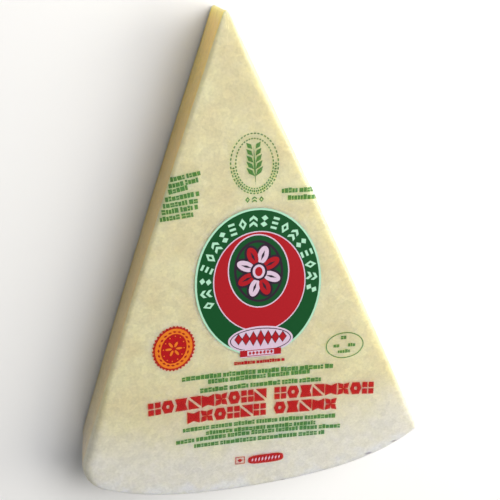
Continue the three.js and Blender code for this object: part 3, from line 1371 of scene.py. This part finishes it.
@dataclass
class Sheet:
    """The printed sheet: every ink's patches, and the shapes that several designs share."""

    bars: SmallPrint = SmallPrint()
    inks: dict[Ink, Patches] = field(default_factory=lambda: {ink: Patches() for ink in Ink})

    def lozenge(self, ink: Ink, middle: Array, along: Array, half: tuple[float, float], layer: int) -> None:
        """Adds a lozenge.

        Args:
            ink: The ink.
            middle: Its centre.
            along: Unit direction of its first axis.
            half: Half its length on that axis, and half its width.
            layer: How many inks lie under it.
        """
        ahead, aside = along * half[0], left_of(along) * half[1]
        self.inks[ink].quad(middle + np.stack([-ahead, -aside, ahead, aside]), layer, across=2, up=2)

    def motif(self, ink: Ink, kind: Motif, foot: Array, right: Array, up: Array, layer: int = 0) -> None:
        """Adds one plain shape.

        Args:
            ink: The ink.
            kind: Which shape.
            foot: Its lower left corner.
            right: From there to its lower right corner.
            up: From foot to head.
            layer: How many inks lie under it.
        """
        for part in kind.value:
            corners = np.stack([foot + right * u + up * v for u, v in part])
            self.inks[ink].quad(corners, layer, across=3, up=3)

    def small_print(self, ink: Ink, row: Row, seed: int) -> None:
        """Fills a row with small print."""
        self.bars.fill(self.inks[ink], row, seed)


class Printed(Protocol):
    """A design that can be drawn on the sheet."""

    def draw(self, sheet: Sheet) -> None:
        """Adds the design's shapes to the sheet."""


@dataclass(frozen=True)
class Emblem:
    """A green oval with pale shapes over its upper part, and a red disc on it."""

    outer: Oval = Oval(4.1, -2.4, 19.9, 24.9)
    disc: Oval = Oval(4.45, -1.8, 14.6, 17.0, 3.2)
    rim: tuple[float, float] = (-0.1, 0.55)
    disc_gap: float = 0.35
    disc_rim: float = 0.4
    shape_count: int = 19
    shape_span: tuple[float, float] = (194.0, -12.0)
    shape_width: float = 2.5
    shape_height: float = 3.9
    kinds: tuple[Motif, ...] = (Motif.FRAME, Motif.CHEVRONS, Motif.STACK, Motif.BARS)

    def draw(self, sheet: Sheet) -> None:
        """Draws the fields of colour, and the shapes with their heads outwards.

        Args:
            sheet: The sheet.
        """
        inner_rim, outer_rim = self.outer.line(self.rim[0]), self.outer.line(self.rim[1])
        sheet.inks[Ink.PALE_GREEN].band(inner_rim, outer_rim, 0, rows=2)
        sheet.inks[Ink.GREEN].band(self.disc.line(self.disc_gap), inner_rim, 0, rows=5)
        sheet.inks[Ink.PALE].band(self.disc.line(), self.disc.line(self.disc_rim), 0)
        sheet.inks[Ink.RED].blob(self.disc.line(), 0, rows=8)
        for place, angle in enumerate(np.radians(np.linspace(*self.shape_span, self.shape_count))):
            outer, inner = self.outer.at(angle), self.disc.at(angle)
            out = (outer - inner) / np.linalg.norm(outer - inner)
            right, up = -left_of(out) * self.shape_width, out * self.shape_height
            foot = (outer + inner) / 2.0 - right / 2.0 - up / 2.0
            sheet.motif(Ink.PALE_GREEN, self.kinds[place % len(self.kinds)], foot, right, up, 1)


@dataclass(frozen=True)
class RoundPicture:
    """A flower of eight red and pale petals with dark outlines on green, in a green ring."""

    picture: Oval = Oval(4.3, 2.0, 9.9, 12.6, 3.2)
    pale_ring: float = -0.4
    green_ring: float = -2.0
    dark_ring: float = -2.8
    petals: int = 8
    petal_spread: tuple[float, float] = (4.4, 5.9)
    petal_half: tuple[float, float] = (3.0, 1.7)
    petal_outline: float = 0.75
    vein_half: tuple[float, float] = (1.8, 0.4)
    vein_shift: float = 0.2
    heart_half: tuple[float, float] = (2.0, 2.4)
    heart_outline: float = 0.7
    heart_inset: float = -0.8
    points: int = 32

    def draw(self, sheet: Sheet) -> None:
        """Draws the rings, the petals with a dark vein each, and the flower's heart.

        Args:
            sheet: The sheet.
        """
        dark, pale, red = sheet.inks[Ink.DARK], sheet.inks[Ink.PALE], sheet.inks[Ink.RED]
        green = sheet.inks[Ink.GREEN]
        pale.band(self.picture.line(self.pale_ring), self.picture.line(), 1)
        green.band(self.picture.line(self.green_ring), self.picture.line(self.pale_ring), 1, rows=2)
        dark.band(self.picture.line(self.dark_ring), self.picture.line(self.green_ring), 1)
        green.blob(self.picture.line(self.dark_ring), 1, rows=4)
        for petal, angle in enumerate(round_steps(self.petals, 0.5)):
            radial = heading(angle)
            spread = radial * self.petal_spread
            at = self.picture.middle + spread
            form = Oval(*at, *self.petal_half, math.degrees(math.atan2(spread[1], spread[0])))
            dark.blob(form.line(self.petal_outline, self.points), 2)
            (pale if petal % 2 else red).blob(form.line(0.0, self.points), 3)
            sheet.lozenge(Ink.DARK, at - radial * self.vein_shift, radial, self.vein_half, 4)
        heart = Oval(*self.picture.middle, *self.heart_half)
        dark.blob(heart.line(self.heart_outline, self.points), 4)
        pale.blob(heart.line(0.0, self.points), 5)
        red.blob(heart.line(self.heart_inset, self.points), 6)


@dataclass(frozen=True)
class ToothedSeal:
    """An orange seal with a toothed red rim and small red lozenges, and a red heart with a flower."""

    seal: Oval = Oval(-24.7, -21.1, 8.0, 6.6, 68.0)
    teeth: int = 36
    points_per_tooth: int = 4
    tooth_height: float = 0.28
    rim: float = -0.75
    face: float = -0.7
    beads: int = 20
    bead_inset: float = -1.85
    bead_half: tuple[float, float] = (0.7, 0.36)
    heart: float = -2.6
    petals: int = 6
    petal_reach: float = 1.7
    petal_half: tuple[float, float] = (1.05, 0.42)
    petal_points: int = 20
    dots: int = 12
    dot_inset: float = -3.4
    dot_radius: float = 0.22
    dot_points: int = 10

    def draw(self, sheet: Sheet) -> None:
        """Draws the seal. Its rim stands out by a cosine with one wave for each tooth.

        Args:
            sheet: The sheet.
        """
        orange, red = sheet.inks[Ink.ORANGE], sheet.inks[Ink.BRIGHT_RED]
        angle = round_steps(self.teeth * self.points_per_tooth)
        rim = self.seal.line(0.0, len(angle))
        outward = rim - self.seal.middle
        outward /= np.linalg.norm(outward, axis=1, keepdims=True)
        toothed = rim + outward * self.tooth_height * np.cos(self.teeth * angle)[:, None]
        red.band(self.seal.line(self.rim, len(angle)), toothed, 0)
        orange.blob(self.seal.line(self.face, len(angle)), 0, rows=4)
        for turn in round_steps(self.beads):
            at = self.seal.at(turn, self.bead_inset)
            radial = (at - self.seal.middle) / np.linalg.norm(at - self.seal.middle)
            sheet.lozenge(Ink.BRIGHT_RED, at, left_of(radial), self.bead_half, 1)
        red.blob(self.seal.line(self.heart), 1, rows=4)
        for turn in round_steps(self.petals):
            petal = self.seal.middle + heading(turn) * self.petal_reach
            form = Oval(*petal, *self.petal_half, math.degrees(turn))
            orange.blob(form.line(0.0, self.petal_points), 2)
        for turn in round_steps(self.dots, 0.5):
            dot = Oval(*self.seal.at(turn, self.dot_inset), self.dot_radius, self.dot_radius)
            orange.blob(dot.line(0.0, self.dot_points), 2, rows=1)


@dataclass(frozen=True)
class LozengePlate:
    """A pale oval plate with a dark line and red lozenges, a small ribbon, and a red row below."""

    plate: Oval = Oval(3.7, -22.1, 10.8, 4.9, -3.8)
    line: tuple[float, float] = (-0.95, -0.65)
    each_side: int = 3
    pitch: float = 2.45
    rise: float = 0.6
    red_half: tuple[float, float] = (2.75, 1.16)
    taper: float = 0.34
    dark_outline: float = 0.32
    dark_half_width: float = 1.4
    ribbon: Row = Row((-3.4, -26.4), (10.3, -27.1), 2.3)
    ribbon_length: float = 13.7
    ribbon_margin: float = 0.3
    ribbon_end: float = 2.4
    ribbon_overlap: float = 0.1
    ribbon_line: float = 0.25
    ribbon_count: int = 7
    ribbon_first: float = 3.3
    ribbon_pitch: float = 1.2
    ribbon_half: tuple[float, float] = (0.5, 0.7)
    below: Row = Row((-5.6, -29.6), (11.9, -30.6), 1.25)
    below_seed: int = 5

    def draw(self, sheet: Sheet) -> None:
        """Draws the plate and its lozenges, which get shorter to either side, then what is below.

        Args:
            sheet: The sheet.
        """
        sheet.inks[Ink.PALE].blob(self.plate.line(), 2, rows=4)
        sheet.inks[Ink.DARK].band(self.plate.line(self.line[0]), self.plate.line(self.line[1]), 3)
        along = heading(math.radians(self.plate.turn))
        up = left_of(along)
        for step in range(-self.each_side, self.each_side + 1):
            middle = self.plate.middle + along * step * self.pitch + up * self.rise
            half = self.red_half[0] - self.taper * abs(step)
            sheet.lozenge(Ink.DARK, middle, up, (half + self.dark_outline, self.dark_half_width), 3)
            sheet.lozenge(Ink.RED, middle, up, (half, self.red_half[1]), 4)
        self._ribbon(sheet, along)
        sheet.small_print(Ink.RED, self.below, self.below_seed)

    def _ribbon(self, sheet: Sheet, along: Array) -> None:
        """Draws the ribbon: red ends, a row of lozenges between them, and a line over and under it.

        Args:
            sheet: The sheet.
            along: Unit direction of the lozenges' first axis.
        """
        red, height = sheet.inks[Ink.RED], self.ribbon.height
        right_end = self.ribbon_length - self.ribbon_end
        whole = self.ribbon.corners(0.0, self.ribbon_length, -self.ribbon_margin, height + self.ribbon_margin)
        sheet.inks[Ink.PALE].quad(whole, 3, across=10)
        red.quad(self.ribbon.corners(0.0, self.ribbon_end, 0.0, height), 4)
        red.quad(self.ribbon.corners(right_end, self.ribbon_length, 0.0, height), 4)
        for step in range(self.ribbon_count):
            reach = self.ribbon_first + self.ribbon_pitch * step
            middle = self.ribbon.corners(reach, 0.0, height / 2.0, 0.0)[0]
            sheet.lozenge(Ink.RED, middle, along, self.ribbon_half, 4)
        start, end = self.ribbon_end - self.ribbon_overlap, right_end + self.ribbon_overlap
        for low in (0.0, height - self.ribbon_line):
            red.quad(self.ribbon.corners(start, end, low, low + self.ribbon_line), 4, across=8, up=1)


@dataclass(frozen=True)
class CornMark:
    """A dashed double line round an ear of corn, short strokes in its lower half, and a row below."""

    oval: Oval = Oval(4.8, 37.0, 7.5, 9.5, 1.0)
    dashes: int = 44
    dash_steps: int = 5
    dash_points: int = 4
    lines: tuple[float, float] = (0.0, -1.55)
    line_width: float = 0.4
    strokes: int = 31
    stroke_span: tuple[float, float] = (184.0, 356.0)
    stroke_insets: tuple[float, float] = (0.55, 1.4)
    stroke_half: tuple[float, float] = (0.45, 0.32)
    ear_drop: float = 6.4
    stalk_rise: float = 5.8
    stalk_half: tuple[float, float] = (6.2, 0.3)
    grain_pairs: int = 5
    grain_first: float = 2.4
    grain_pitch: float = 2.0
    grain_lean: float = 40.0
    grain_reach: float = 2.1
    grain_half: tuple[float, float] = (1.9, 0.72)
    grain_taper: float = 0.14
    row_kinds: tuple[Motif, ...] = (Motif.FRAME, Motif.CHEVRONS, Motif.FRAME)
    row_first: tuple[float, float] = (2.0, 26.0)
    row_pitch: tuple[float, float] = (2.15, -0.12)
    row_half: tuple[float, float] = (0.75, 0.95)
    row_right: tuple[float, float] = (1.5, -0.06)
    row_up: tuple[float, float] = (0.08, 1.9)

    def draw(self, sheet: Sheet) -> None:
        """Draws the dashes, the strokes, the ear and the row.

        Args:
            sheet: The sheet.
        """
        points = self.dashes * self.dash_steps
        for grow in self.lines:
            outer, inner = self.oval.line(grow, points), self.oval.line(grow - self.line_width, points)
            for first in range(0, points, self.dash_steps):
                dash = slice(first, first + self.dash_points)
                sheet.inks[Ink.SMALL_GREEN].grid(np.stack([inner[dash], outer[dash]]), 0)
        near, far = self.stroke_insets
        for angle in np.radians(np.linspace(*self.stroke_span, self.strokes)):
            outer, inner = self.oval.at(angle, -near), self.oval.at(angle, -far)
            out = (outer - inner) / (far - near)
            sheet.lozenge(Ink.SMALL_GREEN, (outer + inner) / 2.0, out, self.stroke_half, 0)
        self._ear(sheet)
        right, up = np.array(self.row_right), np.array(self.row_up)
        for step, kind in enumerate(self.row_kinds):
            middle = np.array(self.row_first) + step * np.array(self.row_pitch)
            sheet.motif(Ink.SMALL_GREEN, kind, middle - self.row_half, right, up)

    def _ear(self, sheet: Sheet) -> None:
        """Draws the ear: a stalk, and pairs of grains that lean out and get shorter upwards.

        Args:
            sheet: The sheet.
        """
        foot = self.oval.middle - [0.0, self.ear_drop]
        upright = np.array([0.0, 1.0])
        sheet.lozenge(Ink.SMALL_GREEN, foot + upright * self.stalk_rise, upright, self.stalk_half, 0)
        for step in range(self.grain_pairs):
            root = foot + upright * (self.grain_first + self.grain_pitch * step)
            half = (self.grain_half[0] - self.grain_taper * step, self.grain_half[1])
            for side in Side:
                along = heading(math.radians(90.0 - side.value * self.grain_lean))
                sheet.lozenge(Ink.SMALL_GREEN, root + along * self.grain_reach, along, half, 0)


@dataclass(frozen=True)
class OvalStamp:
    """A thin green oval round three short rows, the middle one in two halves."""

    stamp: Oval = Oval(32.2, -28.6, 6.6, 4.85, -5.0)
    line_width: float = 0.36
    first_seed: int = 40
    rows: tuple[Row, ...] = (
        Row((30.9, -25.6), (33.1, -25.7), 1.25),
        Row((28.3, -28.3), (31.0, -28.5), 1.25),
        Row((33.4, -28.7), (36.1, -28.9), 1.25),
        Row((29.8, -30.7), (34.1, -31.0), 1.25),
    )

    def draw(self, sheet: Sheet) -> None:
        """Draws the oval and its rows.

        Args:
            sheet: The sheet.
        """
        sheet.inks[Ink.SMALL_GREEN].band(self.stamp.line(-self.line_width), self.stamp.line(), 0)
        for place, row in enumerate(self.rows):
            sheet.small_print(Ink.SMALL_GREEN, row, self.first_seed + place)


@dataclass(frozen=True)
class FootMark:
    """A small square frame with a lozenge in it, beside a red bar with round ends and pale lozenges."""

    square: Row = Row((-7.5, -67.6), (-4.2, -67.8), 2.9)
    square_width: float = 3.3
    thin: float = 0.3
    lozenge_half: tuple[float, float] = (0.95, 0.8)
    bar: Oval = Oval(3.2, -68.5, 6.25, 1.75, -2.5)
    bar_power: float = 0.55
    bar_points: int = 48
    each_side: int = 4
    pitch: tuple[float, float] = (1.18, -0.05)
    slant: tuple[float, float] = (0.3, 0.954)
    pale_half: tuple[float, float] = (1.05, 0.3)
    taper: float = 0.06

    def draw(self, sheet: Sheet) -> None:
        """Draws the frame as four strips, its lozenge, the bar and its pale lozenges.

        Args:
            sheet: The sheet.
        """
        wide, high, thin = self.square_width, self.square.height, self.thin
        strips = (
            (0.0, wide, 0.0, thin),
            (0.0, wide, high - thin, high),
            (0.0, thin, thin, high - thin),
            (wide - thin, wide, thin, high - thin),
        )
        for strip in strips:
            sheet.inks[Ink.BRIGHT_RED].quad(self.square.corners(*strip), 0)
        middle = self.square.corners(wide / 2.0, 0.0, high / 2.0, 0.0)[0]
        sheet.lozenge(Ink.BRIGHT_RED, middle, heading(0.0), self.lozenge_half, 0)
        bar_line = self.bar.line(0.0, self.bar_points, self.bar_power)
        sheet.inks[Ink.BRIGHT_RED].blob(bar_line, 0, rows=3)
        for step in range(-self.each_side, self.each_side + 1):
            at = self.bar.middle + step * np.array(self.pitch)
            half = (self.pale_half[0] - self.taper * abs(step), self.pale_half[1])
            sheet.lozenge(Ink.PALE, at, np.array(self.slant), half, 1)


@dataclass(frozen=True)
class LargePrint:
    """A row of large plain shapes in words, in a fixed order of motifs. Gaps are shares of the pitch."""

    row: Row
    words: tuple[int, ...]
    order: tuple[Motif, ...]
    word_gap: float = 0.55
    margin: float = 0.03

    def draw(self, sheet: Sheet) -> None:
        """Draws the shapes, at a pitch that fills the row.

        Args:
            sheet: The sheet.
        """
        gaps = self.word_gap * (len(self.words) - 1)
        pitch = self.row.frame()[3] / (sum(self.words) + gaps)
        place = 0
        at = 0.0
        for word in self.words:
            for _ in range(word):
                start, end = at + self.margin * pitch, at + (1.0 - self.margin) * pitch
                foot, right, _, left = self.row.corners(start, end, 0.0, self.row.height)
                kind = self.order[place % len(self.order)]
                sheet.motif(Ink.BRIGHT_RED, kind, foot, right - foot, left - foot)
                at += pitch
                place += 1
            at += self.word_gap * pitch


LARGE_ORDER = (
    Motif.QUARTERS, Motif.NUT, Motif.HOURGLASS, Motif.WEDGES, Motif.BOW, Motif.CROSSED, Motif.NUT,
    Motif.QUARTERS, Motif.WEDGES,
)


@dataclass(frozen=True)
class PrintedRows:
    """The rows of green small print, and the two large red rows, the upper of which is the wider."""

    first_seed: int = 100
    small: tuple[Row, ...] = (
        Row((-23.1, -32.7), (29.0, -35.9), 1.75, 0.6),
        Row((-14.6, -35.0), (20.6, -36.6), 1.7, 0.2),
        Row((-17.5, -38.0), (23.7, -40.2), 1.75, 0.45),
        Row((-24.4, -52.2), (28.8, -55.7), 1.7, 0.9),
        Row((-16.8, -54.5), (21.9, -57.1), 1.6, 0.3),
        Row((-27.1, -56.6), (30.9, -60.2), 1.7, 1.2),
        Row((-21.2, -58.9), (25.8, -61.8), 1.7, 0.5),
        Row((-20.9, 34.8), (-11.5, 36.1), 1.55),
        Row((-21.5, 32.9), (-12.0, 34.0), 1.55),
        Row((-21.7, 31.0), (-15.7, 32.0), 1.55),
        Row((-22.9, 28.8), (-12.0, 29.8), 1.55),
        Row((-23.7, 26.9), (-12.5, 27.6), 1.55),
        Row((-24.3, 24.9), (-13.2, 25.6), 1.55),
        Row((-25.0, 22.8), (-13.9, 23.4), 1.55),
        Row((12.8, 27.7), (27.0, 26.9), 1.6),
        Row((14.6, 25.3), (28.5, 24.3), 1.6),
    )
    large: tuple[LargePrint, ...] = (
        LargePrint(Row((-35.2, -42.4), (42.6, -46.9), 4.7, 1.8), (9, 8), LARGE_ORDER),
        LargePrint(Row((-22.7, -47.7), (29.2, -50.9), 4.6, 0.8), (6, 5), LARGE_ORDER[4:] + LARGE_ORDER[:4]),
    )

    def draw(self, sheet: Sheet) -> None:
        """Draws all the rows.

        Args:
            sheet: The sheet.
        """
        for place, row in enumerate(self.small):
            sheet.small_print(Ink.SMALL_GREEN, row, self.first_seed + place)
        for row in self.large:
            row.draw(sheet)


@dataclass
class FilmPrint:
    """The film's print as fields of colour and plain shapes, laid on the film and round its edges."""

    form: WedgeForm
    layer_lift: float = 0.02
    ink_depth: float = 0.012
    designs: tuple[Printed, ...] = (
        Emblem(), RoundPicture(), ToothedSeal(), LozengePlate(),
        CornMark(), OvalStamp(), FootMark(), PrintedRows(),
    )

    def build(self) -> list[bpy.types.Object]:
        """Draws every design and lays each ink on the film as a thin slab.

        Returns:
            The inks' pieces.
        """
        sheet = Sheet()
        for design in self.designs:
            design.draw(sheet)
        pieces = []
        for ink, patches in sheet.inks.items():
            name, slot, finish = ink.value
            plan = np.concatenate(patches.points)
            lift = (np.concatenate(patches.layers) + 1.0) * self.layer_lift
            low = self.form.drape(plan, lift)
            high = self.form.drape(plan, lift + self.ink_depth)
            piece = new_slab(name, low, high, np.concatenate(patches.faces))
            pieces.append(dress(piece, finish.build()))
        return pieces


@dataclass(frozen=True)
class Lamp:
    """A square soft light, with its side in millimetres and its power in watts."""

    name: str
    place: tuple[float, float, float]
    side: float
    power: float
    colour: str

    def build(self) -> None:
        """Adds the light, facing the middle of the wedge's underside."""
        data = bpy.data.lights.new(self.name, "AREA")
        data.size = self.side * MM
        data.energy = self.power
        data.color = linear(self.colour)[:3]
        light = bpy.data.objects.new(self.name, data)
        light.location = Vector(self.place) * MM
        light.rotation_euler = (-light.location).to_track_quat("-Z", "Y").to_euler()
        bpy.context.scene.collection.objects.link(light)


@dataclass(frozen=True)
class Studio:
    """A pale floor, soft lights and the camera at the photograph's angle, in millimetres.

    The camera's focal length is in pixels of the square photograph, and its clip is in metres.
    """

    eye: tuple[float, float, float] = (-37.088, 99.792, 248.826)
    forward: tuple[float, float, float] = (0.158811, -0.367582, -0.916331)
    up: tuple[float, float, float] = (0.119003, 0.928470, -0.351827)
    focal_px: float = 787.7
    frame_px: float = 500.0
    sensor_mm: float = 36.0
    floor_colour: str = "f4f4f4"
    floor_size: float = 3000.0
    floor_drop: float = 0.1
    clip_m: tuple[float, float] = (0.01, 20.0)
    sky_colour: str = "f5f6f7"
    sky_strength: float = 0.11
    lamps: tuple[Lamp, ...] = (
        Lamp("key", (540.0, 60.0, 420.0), 480.0, 3.8, "fffaf0"),
        Lamp("overhead", (280.0, 390.0, 620.0), 460.0, 4.9, "ffffff"),
        Lamp("fill", (-150.0, -900.0, 420.0), 400.0, 1.2, "fffdf8"),
    )

    def camera(self) -> None:
        """Sets the camera from its place, its line of sight and its upward direction."""
        data = bpy.data.cameras.new("camera")
        data.sensor_width = self.sensor_mm
        data.lens = self.focal_px / self.frame_px * self.sensor_mm
        data.clip_start, data.clip_end = self.clip_m
        back = -Vector(self.forward).normalized()
        right = Vector(self.up).cross(back).normalized()
        upward = back.cross(right)
        camera = bpy.data.objects.new("camera", data)
        turned = Matrix((right, upward, back)).transposed().to_4x4()
        camera.matrix_world = Matrix.Translation(Vector(self.eye) * MM) @ turned
        bpy.context.scene.collection.objects.link(camera)
        bpy.context.scene.camera = camera

    def floor(self) -> None:
        """A large flat floor just under the wedge."""
        half = self.floor_size / 2.0
        corners = np.array([[-half, -half, 0], [half, -half, 0], [half, half, 0], [-half, half, 0]], float)
        corners[:, 2] = -self.floor_drop
        floor = new_piece("floor", corners, [[0, 1, 2, 3]])
        paper = Finish("pale_paper_backdrop")
        shader = paper.add("ShaderNodeBsdfPrincipled", Base_Color=linear(self.floor_colour), Roughness=0.9,
                           Specular_IOR_Level=0.1)
        floor.data.materials.append(paper.finish(shader.outputs[0]))

    def sky(self) -> None:
        """A faint even light from all round, and plain display colours."""
        world = bpy.data.worlds.new("studio")
        world.use_nodes = True
        background = world.node_tree.nodes["Background"]
        background.inputs["Color"].default_value = linear(self.sky_colour)
        background.inputs["Strength"].default_value = self.sky_strength
        bpy.context.scene.world = world
        bpy.context.scene.view_settings.view_transform = "Standard"

    def build(self) -> None:
        """Sets up the camera, the floor, the lamps and the sky."""
        self.camera()
        self.floor()
        for lamp in self.lamps:
            lamp.build()
        self.sky()


def main() -> None:
    """Builds the cheese, the film and its print, then the studio."""
    logging.basicConfig(level=logging.INFO, format="%(name)s: %(message)s")
    form = WedgeForm()
    Cheese(form).build()
    Film(form).build()
    FilmPrint(form).build()
    Studio().build()


if __name__ == "__main__":
    main()
